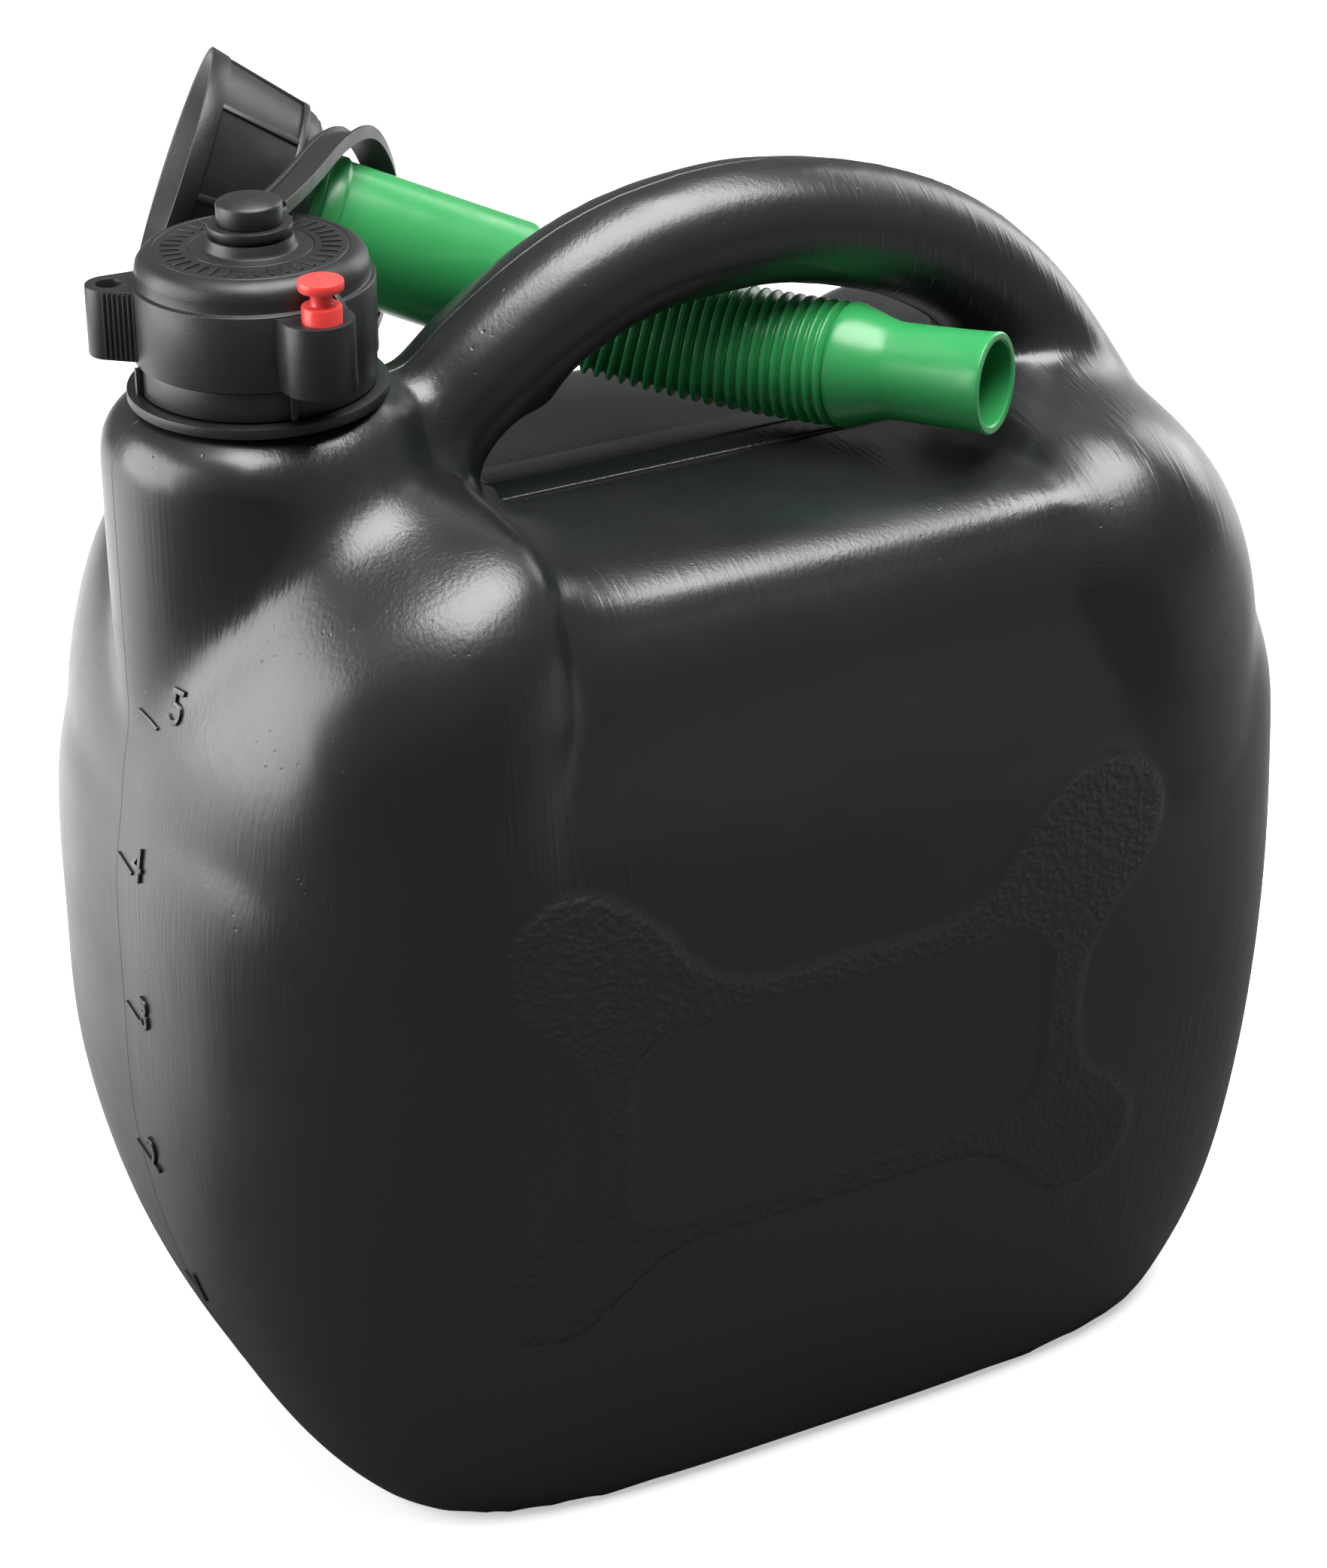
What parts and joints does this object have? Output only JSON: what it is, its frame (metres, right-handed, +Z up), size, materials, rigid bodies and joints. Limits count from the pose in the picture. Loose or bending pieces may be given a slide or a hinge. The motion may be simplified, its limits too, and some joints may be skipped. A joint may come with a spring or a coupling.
{
  "type": "jerrycan",
  "caption": "Blow-moulded black plastic fuel can with a hollow top handle, a childproof screw cap with a locking pin, and a flexible filling spout stored through the hand gap.",
  "frame": {"origin": "centre of the mould's base on the floor, under the middle of the can's thickness", "axes": "+Z up, +X along the can from the filling neck to the rear of the handle, +Y to the side where the spout's collar is stored"},
  "size_m": [0.2418, 0.1534, 0.2787],
  "materials": {
    "black_polyethylene": "semi-gloss blow-moulded, with fine die lines",
    "black_cap_plastic": "satin injection-moulded",
    "green_polyethylene": "semi-gloss",
    "red_plastic": "semi-gloss",
    "seal_rubber": "matte"
  },
  "bodies": {
    "can": {"tank": "black_polyethylene", "tether_ring": "black_cap_plastic", "tether_strap": "black_cap_plastic", "spout_tube": "green_polyethylene", "spout_gasket": "seal_rubber", "spout_bellows": "green_polyethylene"},
    "eyelet": {"tether_eyelet": "black_cap_plastic"},
    "inner_cap": {"cap_insert": "black_cap_plastic", "cap_gasket": "seal_rubber"},
    "outer_cap": {"cap_shell": "black_cap_plastic", "cap_button": "black_cap_plastic"},
    "pin": {"safety_pin": "red_plastic"},
    "collar": {"spout_collar": "black_cap_plastic"},
    "nozzle": {"spout_nozzle": "green_polyethylene"}
  },
  "joints": [
    {"name": "cap_rise", "type": "slide", "parent": "can", "child": "eyelet", "axis": [0, 0, 1], "range_m": [0, 0.009], "deforming": ["tether_strap"]},
    {"name": "cap_turn", "type": "hinge", "parent": "eyelet", "child": "inner_cap", "pos_m": [-0.0895, 0, 0.2455], "axis": [0, 0, 1], "range_deg": [0, 720]},
    {"name": "shell_spin", "type": "hinge", "parent": "inner_cap", "child": "outer_cap", "pos_m": [-0.0895, 0, 0.2498], "axis": [0, 0, 1], "continuous": true},
    {"name": "pin_press", "type": "slide", "parent": "outer_cap", "child": "pin", "axis": [0, 0, 1], "range_m": [-0.0055, 0]},
    {"name": "collar_spin", "type": "hinge", "parent": "can", "child": "collar", "pos_m": [-0.07126, 0.05255, 0.2508], "axis": [0.8532, -0.371, -0.3665], "continuous": true},
    {"name": "nozzle_bend", "type": "hinge", "parent": "can", "child": "nozzle", "pos_m": [0.00911, 0.0176, 0.21628], "axis": [-0.5016, -0.3917, -0.7714], "range_deg": [-3, 18], "stiffness_Nm_per_rad": 0.3, "deforming": ["spout_bellows"]}
  ],
  "couplings": [
    {"joint": "cap_rise", "follows": "cap_turn", "m_per_rad": 0.0007162}
  ]
}
